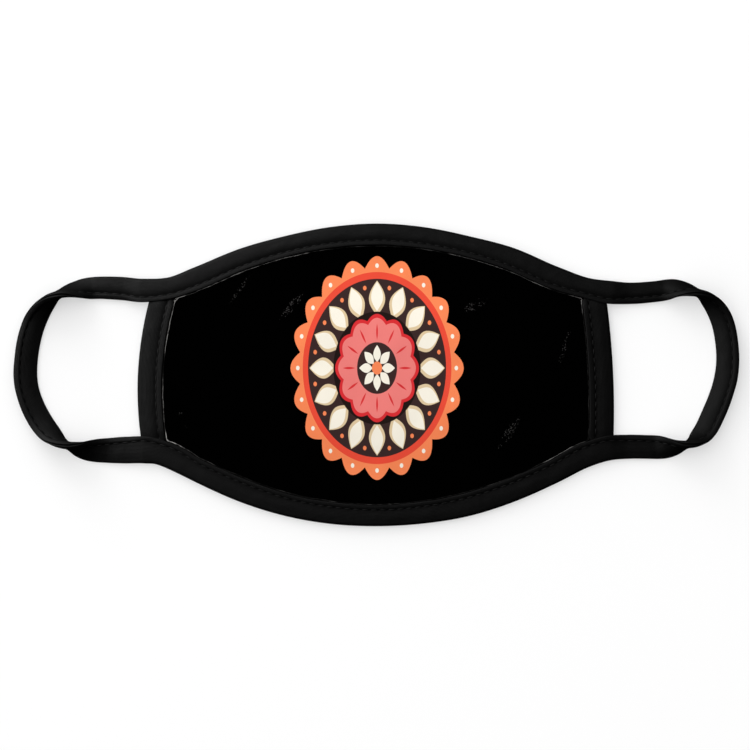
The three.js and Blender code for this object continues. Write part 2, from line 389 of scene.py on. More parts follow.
flat_piece = Station(0, 0, 0, 0, 0, 8.3, BOUND_TAPE, SLOT, SLOT_DEPTH, EDGE_SEAM)
heights = [face_height(d, flat_piece) for d in (0, EDGE_SEAM, 4)]
print("height over the middle:", ", ".join(f"{height:.2f}" for height in heights), "mm")

# %% [markdown]
# ## The section of a folded tape
# The section goes from the bottom of the slot round the lower lip, along the lower face to the
# fold, and back above in the same way. It could be a drawn outline, but worked out from a station
# it serves every tape.

# %% The section of a folded tape
def half_section(spot):
    """From the bottom of the slot, out over the upper lip and across the face to the fold."""
    mouth, depth, seam = spot.mouth, spot.depth, spot.seam
    lip = (spot.thick / 2 - rim_fall(mouth) - mouth / 2) / 2
    fold = FOLD_ROUND * spot.thick
    groove_start, groove_end = seam - 1.5 * LIP_SPREAD, seam + FACE_SPREAD
    points = [(depth, 0), (depth - SLOT_END, mouth / 2)]
    for share in SLOT_STEPS:
        d = lip + (depth - lip) * share
        points.append((d, min(mouth / 2, face_height(d, spot) - LEAST_WALL)))
    for i in range(LIP_STEPS + 1):
        angle = math.pi * (i / LIP_STEPS - 0.5)
        points.append((lip * (1 - math.cos(angle)), mouth / 2 + lip * (1 + math.sin(angle))))
    for start, end, steps in (
        (lip, groove_start, RIDGE_STEPS),
        (groove_start, groove_end, GROOVE_STEPS),
        (groove_end, spot.width - fold, FACE_STEPS),
    ):
        for i in range(1, steps + 1):
            d = start + (end - start) * i / steps
            points.append((d, face_height(d, spot)))
    top = points[-1][1]
    for i in range(1, FOLD_STEPS + 1):
        angle = math.pi / 2 * i / FOLD_STEPS
        points.append((spot.width - fold + fold * math.sin(angle), top * math.cos(angle)))
    return points


def tape_section(spot):
    """The closed section as (distance from the stitched edge, height), from the slot's bottom
    along the lower wall to the fold and back along the upper wall."""
    upper = half_section(spot)
    lower = [(d, -v) for d, v in upper]
    return lower + upper[-2::-1]


print("a tape's section has", len(tape_section(flat_piece)) - 1, "points")

# %% [markdown]
# ## Between two stops
# Between two stops the tape bends evenly, as cloth does. A Bezier curve could show that, but its
# handles would have to be set at every stop. The curves here pass through all the stops and need
# only the four nearest ones.

# %% Between two stops
def mix(a, b, share):
    return a + (b - a) * share


def smooth(share):
    share = min(1, max(0, share))
    return share * share * (3 - 2 * share)


def between(start, end, leave, arrive, share):
    """A point on the curve from start to end that leaves and arrives with these slopes."""
    cubic = 2 * (start - end) + leave + arrive
    square = -3 * (start - end) - 2 * leave - arrive
    return start + share * (leave + share * (square + share * cubic))


def through(before, start, end, after, share):
    """A point between start and end on a centripetal curve through the four points."""
    gaps = [math.sqrt((b - a).length) for a, b in ((before, start), (start, end), (end, after))]
    reach = end - start
    leave = gaps[1] * ((start - before) / gaps[0] - (end - before) / (gaps[0] + gaps[1])) + reach
    arrive = gaps[1] * ((after - end) / gaps[2] - (after - start) / (gaps[1] + gaps[2])) + reach
    return between(start, end, leave, arrive, share)


def ease(values, share):
    """Between the second and third value, without a kink at either of them."""
    before, start, end, after = values
    leave, arrive = (end - before) / 2, (after - start) / 2
    if (start - before) * (end - start) <= 0:
        leave = 0
    if (end - start) * (after - end) <= 0:
        arrive = 0
    return between(start, end, leave, arrive, share)


halfway = ease([ROUTE[i].width for i in (-1, 0, 1, 2)], 0.5)
print(f"between its first two stops the tape is {halfway:.2f} mm wide")

# %% [markdown]
# ## From stops to stations
# Closely spaced stations follow the way. Each says how far along the tape it is, so the tape can
# first be made straight, as it comes off the reel, and then laid along the way. The tape could
# be kept level and set down on the table afterwards, but then it would stand on its loops and
# hover elsewhere. So its middle is lifted by as much as its turned section reaches down.

# %% From stops to stations
STATION_STEP = 0.5
TABLE_GAP = 0.05  # what is left between a piece and the table


def station(place, width, turn, bound):
    angle = math.radians(turn)
    thick = mix(LOOP_TAPE, BOUND_TAPE, bound) + TURNING * math.sin(angle) ** 4
    mouth = mix(SEAM_NOTCH[0], SLOT, bound)
    depth = mix(SEAM_NOTCH[1], SLOT_DEPTH, bound)
    seam = mix(LOOP_SEAM, EDGE_SEAM, bound)
    spot = Station(0, place.x, place.y, 0, turn, width, thick, mouth, depth, seam)
    section = tape_section(spot)
    lowest = min((width / 2 - d) * math.sin(angle) + v * math.cos(angle) for d, v in section)
    return spot._replace(z=TABLE_GAP - lowest)


def measured(stations):
    """The same stations, each with its distance from the first one along the tape."""
    done = []
    s = 0
    last = stations[0]
    for spot in stations:
        s += math.dist((last.x, last.y, last.z), (spot.x, spot.y, spot.z))
        done.append(spot._replace(s=s))
        last = spot
    return done


def long_tape_stations():
    stations = []
    for i in range(len(ROUTE)):
        near = [ROUTE[(i + j) % len(ROUTE)] for j in (-1, 0, 1, 2)]
        corners = [Vector((stop.x, stop.y)) for stop in near]
        steps = math.ceil((corners[2] - corners[1]).length / STATION_STEP)
        for k in range(steps):
            share = k / steps
            width = ease([stop.width for stop in near], share)
            turn = ease([stop.turn for stop in near], share)
            bound = smooth(mix(near[1].bound, near[2].bound, share))
            stations.append(station(through(*corners, share), width, turn, bound))
    return measured([*stations, stations[0]])


long_tape = long_tape_stations()
print(f"{len(long_tape)} stations, {long_tape[-1].s:.0f} mm of tape")

# %% [markdown]
# ## What sewing does to a tape
# Sewn cloth is never even: the needle leaves holes, the thread pulls harder in one place than in
# another, the fold is fuller here and flatter there, and the stitched edge wanders. A bump in
# the material could show that from above, but the tape's gleams and its outline follow the real
# shape, so it goes into the mesh.

# %% What sewing does to a tape
STITCH_PITCH = 3.5
HOLE_DEPTH, HOLE_REACH, HOLE_SPREAD = 0.07, 0.5, 0.2  # where the needle went through
PUFF = 0.4  # how much of that depth the cloth between two holes stands out
LEFT_TIGHTER, RIGHT_LOOSER = 2, 0.3  # how the thread's pull changes on the two ear loops
PULL_FROM, PULL_REACH = 100, 26  # it changes from this far out, over this length
LIP_LEAN = 0.18  # how steeply the lips hang down from the stitches on the left loop's outer arc
LEAN_FROM, LEAN_REACH = 100, 20  # it grows from this far out, over this length
FULLNESS = 0.16  # how far the fuller places stand out
LUMP, SMALL_LUMP = (8.5, 5), (3.1, 2)  # length and width of the fuller places
FULL_FROM, FULL_REACH = 0.3, 1.8  # they begin this far from the stitches, over this width
WANDER, WANDER_LENGTH = 0.14, 7  # how far the stitched edge strays, and over what length
WANDER_REACH, WANDER_FADE = 3.2, 3  # it ends this far in from that edge, and fades over this width


def even_pitch(stations):
    """The pitch nearest to the machine's that fits a whole number of stitches."""
    length = stations[-1].s
    return length / round(length / STITCH_PITCH)


def needle_hole(s, pitch):
    """1 where the needle went through the tape, and 0 between two holes."""
    from_hole = (s / pitch + 0.5) % 1 - 0.5
    return math.exp(-((from_hole * pitch / HOLE_REACH) ** 2))


def tightness(x):
    """How hard the thread pulls here."""
    out = abs(x) - PULL_FROM
    return 1 + (LEFT_TIGHTER if x < 0 else -RIGHT_LOOSER) * smooth(out / PULL_REACH)


def leaning(spot):
    """How far the lips hang down here, as a share."""
    return max(0, -math.cos(math.radians(spot.turn))) * smooth((-LEAN_FROM - spot.x) / LEAN_REACH)


def unevenness(spot, d, side, pitch, seed):
    """How far the tape's face stands out here, beyond its plain section."""
    s = spot.s
    hole = HOLE_DEPTH * (needle_hole(s, pitch) - PUFF)
    sunk = groove(d, spot.seam) * (GROOVE_DEPTH * (tightness(spot.x) - 1) + hole)
    full = noise.noise((s / LUMP[0], d / LUMP[1] + side * 3, seed))
    full += 0.5 * noise.noise((s / SMALL_LUMP[0], d / SMALL_LUMP[1], seed + 9))
    return FULLNESS * full * smooth((d - spot.seam - FULL_FROM) / FULL_REACH) - sunk


def wandering(s, d, seed):
    """How far the tape strays to the side here."""
    near_edge = smooth((WANDER_REACH - d) / WANDER_FADE)
    return WANDER * noise.noise((s / WANDER_LENGTH, seed, 0.5)) * near_edge


print(f"a stitch every {even_pitch(long_tape):.2f} mm along the long tape")

# %% [markdown]
# ## Edit mode from a script
# Most of Blender's mesh tools work in edit mode, on what is selected in the active object. Mesh
# data could be changed directly instead, but these are the same steps as by hand, so they can
# be tried out in the window first.

# %% Edit mode from a script
SAME_POINT = 0.004 * MM  # points closer than this are one


def select_only(piece):
    bpy.ops.object.select_all(action="DESELECT")
    piece.select_set(True)
    bpy.context.view_layer.objects.active = piece


def in_edit_mode(piece, *steps):
    """Runs edit mode operators on everything that is selected in the piece."""
    select_only(piece)
    bpy.ops.object.mode_set(mode="EDIT")
    bpy.ops.mesh.select_all(action="SELECT")
    for step in steps:
        step()
    bpy.ops.object.mode_set(mode="OBJECT")


def join_doubles():
    bpy.ops.mesh.remove_doubles(threshold=SAME_POINT)


def face_outwards():
    bpy.ops.mesh.normals_make_consistent(inside=False)


def close_ends():
    bpy.ops.mesh.select_all(action="DESELECT")
    bpy.ops.mesh.select_non_manifold(extend=False, use_wire=False, use_multi_face=False,
                                     use_non_contiguous=False, use_verts=False)
    bpy.ops.mesh.edge_face_add()
    bpy.ops.mesh.select_all(action="SELECT")


# %% [markdown]
# ## The tape's map
# The map says where each point was when the cloth was flat, so that the knit can follow every
# turn of the tape. Blender could unwrap the finished tape, but it would cut it into islands. The
# tape is made from a grid, so its map is how far along and how far round each point is.

# %% The tape's map
def unroll(tape, stations, sections):
    """The tape's map, in metres: along it, and round its section from the fold."""
    columns, rows = len(sections) - 1, len(sections[0]) - 1
    points = numpy.array(sections)
    steps = numpy.linalg.norm(numpy.diff(points, axis=1), axis=2)
    round_it = numpy.zeros((columns + 1, rows + 1))
    round_it[:, 1:] = numpy.cumsum(steps, axis=1)
    round_it -= round_it[:, rows // 2 : rows // 2 + 1]
    along = numpy.array([spot.s for spot in stations])
    layer = tape.data.uv_layers.active
    layer.name = "along_and_round"
    places = numpy.zeros(2 * len(layer.uv), dtype=numpy.float32)
    layer.uv.foreach_get("vector", places)
    column = numpy.rint(places[0::2] * columns).astype(int)
    row = numpy.rint(places[1::2] * rows).astype(int)
    places[0::2] = along[column] * MM
    places[1::2] = round_it[column, row] * MM
    layer.uv.foreach_set("vector", places)


# %% [markdown]
# ## A straight tape
# The tape starts as a flat grid, which is what a strip of cloth is. Each column of the grid is
# one station, and is carried to the folded section there, as uneven as sewing makes it. Where
# that would push the tape into the table it is pressed flat. Extruding one section would be
# shorter, but the section changes all along. Two numbers are stored on the points for the
# finish, which paints shade with them: in the needle holes, and in a band along the groove.

# %% A straight tape
SEAM_SHADE_SPREAD = 1.6  # how far from the stitches the painted shade along the groove reaches, towards the fold
SLOT_ROWS = 2 + len(SLOT_STEPS)  # rows of the slot's wall, at either end of the section


def is_closed(stations):
    return (stations[0].x, stations[0].y) == (stations[-1].x, stations[-1].y)


def out_of_table(spot, across, v):
    """A point of the turned section, moved up where it would be in the table."""
    turn = math.radians(spot.turn)
    up = Vector((math.sin(turn), math.cos(turn)))
    point = Vector((across, v))
    return point - up * min(0, up.dot(point) + spot.z - TABLE_GAP)


def straight_tape(name, stations, seed):
    columns = len(stations) - 1
    pitch = even_pitch(stations)
    closed = is_closed(stations)
    sections = [tape_section(spot) for spot in stations]
    rows = len(sections[0]) - 1
    bpy.ops.object.select_all(action="DESELECT")
    bpy.ops.mesh.primitive_grid_add(x_subdivisions=columns, y_subdivisions=rows, size=1)
    tape = bpy.context.object
    tape.name = name
    kinds = ("needle_hole", "seam_shade")
    for kind in kinds:
        tape.data.attributes.new(kind, "FLOAT", "POINT")
    hole_shading, seam_shade = [tape.data.attributes[kind].data for kind in kinds]
    for vertex in tape.data.vertices:
        column = round((vertex.co.x + 0.5) * columns) % (columns if closed else columns + 1)
        row = round((vertex.co.y + 0.5) * rows)
        spot = stations[column]
        d, v = sections[column][row]
        if min(row, rows - row) >= SLOT_ROWS:
            v *= 1 + 2 * unevenness(spot, d, math.copysign(1, v), pitch, seed) / spot.thick
            # where the finish paints shade in the needle holes
            near = beside_seam(d, spot.seam, HOLE_SPREAD, HOLE_SPREAD)
            hole_shading[vertex.index].value = needle_hole(spot.s, pitch) * near
            # where the finish paints shade in a band along the groove
            seam_shade[vertex.index].value = beside_seam(d, spot.seam, LIP_SPREAD, SEAM_SHADE_SPREAD)
        v += LIP_LEAN * leaning(spot) * max(0, spot.seam - d)
        across = spot.width / 2 - d + wandering(spot.s, d, seed)
        vertex.co = Vector((spot.s, *out_of_table(spot, across, v))) * MM
    unroll(tape, stations, sections)
    in_edit_mode(tape, join_doubles)
    return tape


edge_tape = straight_tape("edge_tape", long_tape, 1.3)
print(edge_tape.name, "is straight, with", len(edge_tape.data.polygons), "faces")

# %% [markdown]
# ## Laying a tape along its way
# The tape is put down along the way as a sewer would lead it, turned over on its fold at the
# loops' corners. A Curve modifier bends the straight tape along a path, whose tilt is the tape's
# turn. Each point could be moved by a formula instead, but with the modifier anything else that
# is made straight beside the tape, such as the stitches, is laid along the same path.

# %% Laying a tape along its way
def make_path(name, stations):
    points = stations[:-1] if is_closed(stations) else stations
    curve = bpy.data.curves.new(name, "CURVE")
    curve.dimensions = "3D"
    curve.twist_mode = "Z_UP"
    spline = curve.splines.new("POLY")
    spline.points.add(len(points) - 1)
    for point, spot in zip(spline.points, points):
        point.co = (spot.x * MM, spot.y * MM, spot.z * MM, 1)
        point.tilt = math.radians(spot.turn)
    spline.use_cyclic_u = is_closed(stations)
    path = bpy.data.objects.new(name, curve)
    bpy.context.scene.collection.objects.link(path)
    return path


def lay_along(piece, path):
    select_only(piece)
    bend = piece.modifiers.new("Bend", "CURVE")
    bend.object = path
    bend.deform_axis = "POS_X"
    bpy.ops.object.modifier_apply(modifier=bend.name)
    in_edit_mode(piece, face_outwards)
    bpy.ops.object.shade_smooth()


def stand_for(piece, node):
    """The piece takes the place of its plain piece, and moves with the mask's one body."""
    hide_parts(node)
    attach(piece, "root")
    corners = [piece.matrix_world @ Vector(c) for c in piece.bound_box]
    low, high = [[round(f(c[i] for c in corners) / MM, 1) for i in range(3)] for f in (min, max)]
    plain = [[round(x / MM, 1) for x in corner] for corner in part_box(node)]
    print(piece.name, "is from", low, "to", high, "mm, and its plain piece from", *plain)


long_path = make_path("long_tape_way", long_tape)
lay_along(edge_tape, long_path)
stand_for(edge_tape, "edge_binding_and_ear_loops")

# %% [markdown]
# ## The side tapes
# A shorter tape of the same cloth is folded over each short side first, and the long tape is
# sewn over its ends. It could be cut off where the long tape hides it, but then a gap shows from
# the side. So the ends go in between the long tape's lips, and are pressed flat there.

# %% The side tapes
SIDE_WIDTH = 9.5
SIDE_SLOT_DEPTH = 6.6
PRESSED, PRESSED_MOUTH = 1.5, 0.7  # thickness of the pressed ends, and height of their slot
PRESSED_REACH = 6.5  # from an end to where the tape has its full thickness
Side = namedtuple("Side", "x y bow low high")  # a shallow parabola round (x, y), from low to high
LEFT_SIDE = Side(-88.2, -6, 0.0039, -27.8, 31.6)
RIGHT_SIDE = Side(87.6, -14, -0.0016, -27.4, 31.4)


def side_x(side, y):
    return side.x + side.bow * (y - side.y) ** 2


def side_stations(side):
    """Down the left side or up the right one, so that the stitched edge is towards the middle."""
    ends = (side.high, side.low) if side.x < 0 else (side.low, side.high)
    steps = math.ceil((side.high - side.low) / STATION_STEP)
    stations = []
    for i in range(steps + 1):
        y = mix(*ends, i / steps)
        full = smooth(min(i, steps - i) * STATION_STEP / PRESSED_REACH)
        spot = Station(s=0, x=side_x(side, y), y=y, z=BOUND_TAPE / 2, turn=0, width=SIDE_WIDTH,
                       thick=mix(PRESSED, BOUND_TAPE, full), mouth=mix(PRESSED_MOUTH, SLOT, full),
                       depth=SIDE_SLOT_DEPTH, seam=SIDE_SEAM)
        stations.append(spot)
    return measured(stations)


def side_tape(name, side, node, seed):
    stations = side_stations(side)
    path = make_path(name + "_way", stations)
    tape = straight_tape(name, stations, seed)
    in_edit_mode(tape, close_ends)
    lay_along(tape, path)
    stand_for(tape, node)
    return tape, stations, path


left_tape, left_stations, left_path = side_tape(
    "left_side_tape", LEFT_SIDE, "left_side_binding", 4.1
)
right_tape, right_stations, right_path = side_tape(
    "right_side_tape", RIGHT_SIDE, "right_side_binding", 7.7
)

# %% [markdown]
# ## Stitches
# Each stitch is a short bead of thread that dips into the cloth at both ends. A pattern in the
# tape's finish could show them, but real beads catch the light and throw shadows. One is
# modelled, an Array modifier repeats it at the sewing machine's pitch, and the row is laid along
# the same path as the tape, in its groove, once on the upper face and once on the lower one,
# where the table presses it in.

# %% Stitches
THREAD = 0.2  # half of the thread's thickness
STITCH_LENGTH = 2.5
STITCH_DIP = 0.4  # how far its ends go down into the cloth


def stretch_bead():
    """Lays a round bead down along the seam and makes it as long as a stitch."""
    bpy.ops.transform.rotate(value=math.pi / 2, orient_axis="Y", center_override=(0, 0, 0))
    bpy.ops.transform.resize(value=(STITCH_LENGTH / 2 / THREAD, 1, 1), center_override=(0, 0, 0))


def one_stitch(name):
    bpy.ops.object.select_all(action="DESELECT")
    bpy.ops.mesh.primitive_uv_sphere_add(segments=8, ring_count=6, radius=THREAD * MM)
    stitch = bpy.context.object
    stitch.name = name
    in_edit_mode(stitch, stretch_bead)
    return stitch


def row_of_stitches(name, stations, path, side):
    pitch = even_pitch(stations)
    stitch = one_stitch(name)
    row = stitch.modifiers.new("Row", "ARRAY")
    row.count = round(stations[-1].s / pitch)
    row.use_relative_offset = False
    row.use_constant_offset = True
    row.constant_offset_displace = (pitch * MM, 0, 0)
    bpy.ops.object.modifier_apply(modifier=row.name)
    starts = [spot.s for spot in stations]
    for vertex in stitch.data.vertices:
        s = vertex.co.x / MM + pitch / 2
        from_middle = s / pitch % 1 - 0.5
        spot = stations[min(len(stations) - 1, bisect_right(starts, s))]
        dip = STITCH_DIP * (2 * from_middle) ** 4
        loose = GROOVE_DEPTH * (1 - tightness(spot.x))
        height = face_height(spot.seam, spot) + loose + THREAD / 2 - dip
        if side < 0:
            height = min(height, spot.z - TABLE_GAP - THREAD)
        vertex.co += Vector((pitch / 2, spot.width / 2 - spot.seam, side * height)) * MM
    lay_along(stitch, path)
    return stitch


def sew(name, stations, path):
    rows = [row_of_stitches(name, stations, path, side) for side in (1, -1)]
    bpy.ops.object.select_all(action="DESELECT")
    for row in rows:
        row.select_set(True)
    bpy.context.view_layer.objects.active = rows[0]
    bpy.ops.object.join()
    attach(rows[0], "root")
    bpy.data.objects.remove(path)
    print(name, "has", len(rows[0].data.polygons), "faces")
    return rows[0]


edge_stitches = sew("edge_stitches", long_tape, long_path)
left_stitches = sew("left_side_stitches", left_stations, left_path)
right_stitches = sew("right_side_stitches", right_stations, right_path)

# %% [markdown]
# ## The pattern of both layers
# The front and the lining are cut from the same pattern. It could be drawn as an outline and
# filled, but then its faces would run in all directions. An even grid that is carried to the
# pattern keeps them in rows.

# %% The pattern of both layers
NOSE_Y, CHIN_Y = 55.4, -55.7  # the top and the bottom of the cut cloth, which the tape covers
NOSE_CURVE, CHIN_CURVE = 0.0035, 0.0036
SIDE_INSET = 1.4  # how far the cloth goes in past the middle of the side tapes
ROUNDS = 6  # across depends on up and up on across, so they are worked out in turns


def nose_y(x):
    return NOSE_Y - NOSE_CURVE * x * x


def chin_y(x):
    return CHIN_Y + CHIN_CURVE * x * x


def on_panel(a, b):
    """Where the cut cloth has the point (a, b), each from -1 to 1 across and up."""
    x, y = a * RIGHT_SIDE.x, 0
    for _ in range(ROUNDS):
        y = mix(chin_y(x), nose_y(x), (b + 1) / 2)
        left, right = side_x(LEFT_SIDE, y) - SIDE_INSET, side_x(RIGHT_SIDE, y) + SIDE_INSET
        x = mix(left, right, (a + 1) / 2)
    return x, y


def cut_size():
    """Width, length and flat area of the pattern, in metres."""
    left, right = on_panel(-1, 0)[0], on_panel(1, 0)[0]
    strips = 200
    strip = (right - left) / strips
    middles = [left + (i + 0.5) * strip for i in range(strips)]
    area = sum((nose_y(x) - chin_y(x)) * strip for x in middles)
    return (right - left) * MM, (nose_y(0) - chin_y(0)) * MM, area * MM * MM


cut_width, cut_length, area = cut_size()
print(f"each layer was cut from {cut_width * 1000:.0f} by {cut_length * 1000:.0f} mm")

# %% [markdown]
# ## How high the cloth lies
# The tapes hold both layers level at the hem. The front stands up a little in the middle,
# because there is air in the pocket behind it, and the lining has sunk to the table. A cloth
# simulation could find that, but the mask lies flat with no folds, so a formula for the height
# is enough.

# %% How high the cloth lies
POCKET_CROWN = 2.6  # how far the front stands up
HEM, CROWN_REACH, SETTLE_REACH = 7, 36, 9  # the level hem, and the widths of the slopes beside it
RIPPLES = [(0.35, 17, 3.3), (0.12, 6, 8.1)]  # height and length of each, and its seed
RIPPLE_REACH = 8
LINING_HEM_Z = TAPE_WALL + CLEAR
FRONT_HEM_Z = LINING_HEM_Z + CLOTH + CLEAR


def from_hem(a, b, x, reach):
    """0 on the hem, rising to 1 at reach from it."""
    across = (1 - abs(a)) * RIGHT_SIDE.x
    up = (1 - abs(b)) * (nose_y(x) - chin_y(x)) / 2
    return smooth((across - HEM) / reach) * smooth((up - HEM) / reach)


def rippled(x, y):
    return sum(high * noise.noise((x / long, y / long, seed)) for high, long, seed in RIPPLES)


def front_under(a, b, x, y):
    swell = POCKET_CROWN * from_hem(a, b, x, CROWN_REACH)
    return FRONT_HEM_Z + swell + rippled(x, y) * from_hem(a, b, x, RIPPLE_REACH)


def lining_under(a, b, x, y):
    return mix(LINING_HEM_Z, TABLE_GAP, from_hem(a, b, x, SETTLE_REACH))


crown = front_under(0, 0, 0, 0)
print(f"the front is {FRONT_HEM_Z:.1f} mm up at its hem, and {crown:.1f} mm in the middle")

# %% [markdown]
# ## The front and the lining
# Each layer is a grid that is carried to the pattern and then made as thick as the cloth. It
# could be a flat box from the start, but a Solidify modifier keeps the thickness on every slope.
# The front also stores how far each point is from the tape, for the pale line beside it.

# %% The front and the lining
PANEL_COLUMNS, PANEL_ROWS = 132, 84
HOLDING = 1  # a tape whose slot is higher than this holds the cloth


def cloth_panel(name, under):
    bpy.ops.object.select_all(action="DESELECT")
    bpy.ops.mesh.primitive_grid_add(x_subdivisions=PANEL_COLUMNS, y_subdivisions=PANEL_ROWS, size=2)
    panel = bpy.context.object
    panel.name = name
    for vertex in panel.data.vertices:
        a, b = vertex.co.x, vertex.co.y
        x, y = on_panel(a, b)
        vertex.co = Vector((x, y, under(a, b, x, y))) * MM
    return panel


def thicken(panel):
    select_only(panel)
    wall = panel.modifiers.new("Cloth", "SOLIDIFY")
    wall.thickness = CLOTH * MM
    wall.offset = 1
    bpy.ops.object.modifier_apply(modifier=wall.name)
    bpy.ops.object.shade_smooth()


def note_edge(panel):
    """Stores how far each point of the cloth is from the visible edge of the nearest tape."""
    held = [spot for spot in long_tape if spot.mouth > HOLDING] + left_stations + right_stations
    tree = KDTree(len(held))
    for i, spot in enumerate(held):
        tree.insert((spot.x, spot.y, 0), i)
    tree.balance()
    edge = panel.data.attributes.new("from_tape", "FLOAT", "POINT")
    for vertex in panel.data.vertices:
        _, i, gap = tree.find((vertex.co.x / MM, vertex.co.y / MM, 0))
        edge.data[vertex.index].value = (gap - held[i].width / 2) * MM


front_cloth = cloth_panel("front_cloth", front_under)
note_edge(front_cloth)
thicken(front_cloth)
stand_for(front_cloth, "front_panel")
lining_cloth = cloth_panel("lining_cloth", lining_under)
thicken(lining_cloth)
stand_for(lining_cloth, "lining")

# %% [markdown]
# ## Small helpers for the finishes
# A finish starts from a place on the surface, either where it is on the mask or where it is on
# the tape's own map. Noise, colours and bumps are then worked out from it. Pictures could be
# wrapped round the pieces instead, but formulas stay sharp however near the camera comes.

# %% Small helpers for the finishes
def lumps(tree, place, size, detail=2):
    """Smooth noise from 0 to 1, with lumps of about this size in metres."""
    node = tree.nodes.new("ShaderNodeTexNoise")
    tree.links.new(place, node.inputs["Vector"])
    node.inputs["Scale"].default_value = 1 / size
    node.inputs["Detail"].default_value = detail
    return Field(tree, node.outputs["Fac"])


def stored(tree, name):
    """A number that was stored on the points of the mesh."""
    node = tree.nodes.new("ShaderNodeAttribute")
    node.attribute_name = name
    return Field(tree, node.outputs["Fac"])


def on_mask(tree):
    """Where a point is on the mask, in metres."""
    return tree.nodes.new("ShaderNodeTexCoord").outputs["Object"]


def parts_of(tree, place):
    """The x, y and z of a place, in millimetres."""
    node = tree.nodes.new("ShaderNodeSeparateXYZ")
    tree.links.new(place, node.inputs["Vector"])
    return [Field(tree, output) / MM for output in node.outputs]


# %% [markdown]
# ## Colours and materials
# The colours are written as they look in a picture, and turned into what the cloth reflects.
# They could be picked by eye in the editor, but then brighter lamps would mean picking them all
# again. Here one number says how bright the light is.

# %% Colours and materials
BRIGHT = 1.25  # how bright a white cloth would be there, if 1 is the picture's white


def linear(red, green, blue):
    """The colour that looks like this, from 0 to 255, in the bright light over the mask."""
    return tuple(((c / 255 + 0.055) / 1.055) ** 2.4 / BRIGHT for c in (red, green, blue))


def blend(tree, under, over, share):
    """One colour laid over another where share is 1. Each is a socket or three numbers."""
    node = tree.nodes.new("ShaderNodeMix")
    node.data_type = "RGBA"
    feed(tree, share, node.inputs[0])
    for place, colour in ((node.inputs[6], under), (node.inputs[7], over)):
        if isinstance(colour, tuple):
            place.default_value = (*colour, 1)
        else:
            tree.links.new(colour, place)
    return node.outputs[2]


def finish_of(name, roughness, gloss, sheen=0):
    """A new material with its tree and shader, and the values that are the same all over."""
    material = plain_material(name, (0, 0, 0), roughness)
    tree = material.node_tree
    shader = tree.nodes["Principled BSDF"]
    shader.inputs["Specular IOR Level"].default_value = gloss
    shader.inputs["Sheen Weight"].default_value = sheen
    shader.inputs["Sheen Roughness"].default_value = 0.5
    return material, tree, shader


def raise_threads(tree, shader, height, depth):
    """Turns a field from 0 to 1 into small bumps of this depth in millimetres."""
    bump = tree.nodes.new("ShaderNodeBump")
    bump.inputs["Distance"].default_value = depth * MM
    feed(tree, height, bump.inputs["Height"])
    tree.links.new(bump.outputs["Normal"], shader.inputs["Normal"])


def put_on(material, *pieces):
    for piece in pieces:
        piece.data.materials.clear()
        piece.data.materials.append(material)
    print(material.name, "is on", ", ".join(piece.name for piece in pieces))


# %% [markdown]
# ## The tape's finish
# The tape is a soft black knit. Its loops could be modelled, but there are many thousands, so
# they are bumps that only the shading shows. The tape's map gives the places along it and round
# it in metres, so the rows of loops are half a millimetre wide and follow every turn.

# %% The tape's finish
WALE, COURSE = 0.52, 0.42  # width and height of one loop of the knit
TAPE_ROUGHNESS, ROUGHNESS_RANGE = 0.68, 0.08
TAPE_GLOSS = 0.02
TAPE_BLACK, TAPE_WORN = (0.0004, 0.0004, 0.0004), (0.0008, 0.0008, 0.0008)
# the painted shade in the needle holes: a near-black colour and less gloss
HOLE_SHADE_BLACK = (0.0001, 0.0001, 0.0001)
SEAM_SHADE_STRENGTH = 0.4  # how much of the gloss is taken away along the stitches, as painted shade
HOLE_SHADE_STRENGTH = 0.8  # how much of its colour and gloss is taken away in the middle of a needle hole, as painted shade
KNIT_RELIEF = 0.05


def tape_material():
    material, tree, shader = finish_of("black_knit_tape", TAPE_ROUGHNESS, TAPE_GLOSS)
    place = tree.nodes.new("ShaderNodeUVMap")
    place.uv_map = "along_and_round"
    along, around, _ = parts_of(tree, place.outputs["UV"])
    wale = (around / WALE).do("PINGPONG", 0.5) * 2
    course = ((along / COURSE + wale * 0.4) * (2 * math.pi)).do("SINE")
    raise_threads(tree, shader, wale * 0.7 + course * 0.3, KNIT_RELIEF)
    worn = lumps(tree, place.outputs["UV"], 0.009, 4) * 0.7 + wale * 0.3
    colour = blend(tree, TAPE_BLACK, TAPE_WORN, worn.rise(0.35, 0.75))
    # painted shade in the needle holes
    hole = stored(tree, "needle_hole").rise(0.2, 0.8) * HOLE_SHADE_STRENGTH
    colour = blend(tree, colour, HOLE_SHADE_BLACK, hole)
    tree.links.new(colour, shader.inputs["Base Color"])
    feed(tree, worn * -ROUGHNESS_RANGE + TAPE_ROUGHNESS, shader.inputs["Roughness"])
    # painted shade: less gloss along the stitches and in the needle holes, since the tape's
    # brightness is nearly all gloss
    gloss_left = (stored(tree, "seam_shade") * -SEAM_SHADE_STRENGTH + 1) * (-hole + 1)
    feed(tree, gloss_left * TAPE_GLOSS, shader.inputs["Specular IOR Level"])
    return material


put_on(tape_material(), edge_tape, left_tape, right_tape)

# %% [markdown]
# ## The thread's finish
# Sewing thread is smoother than the knit, so it shines a little more. It is twisted from finer
# yarns. Those could be modelled as well, but a mottled black is all that shows of them.

# %% The thread's finish
THREAD_BLACK, THREAD_GREY = (0.001, 0.001, 0.001), (0.003, 0.003, 0.003)
TWIST = 0.0009  # metres


def thread_material():
    material, tree, shader = finish_of("black_thread", roughness=0.65, gloss=0.03)
    colour = blend(tree, THREAD_BLACK, THREAD_GREY, lumps(tree, on_mask(tree), TWIST))
    tree.links.new(colour, shader.inputs["Base Color"])
    return material


put_on(thread_material(), edge_stitches, left_stitches, right_stitches)

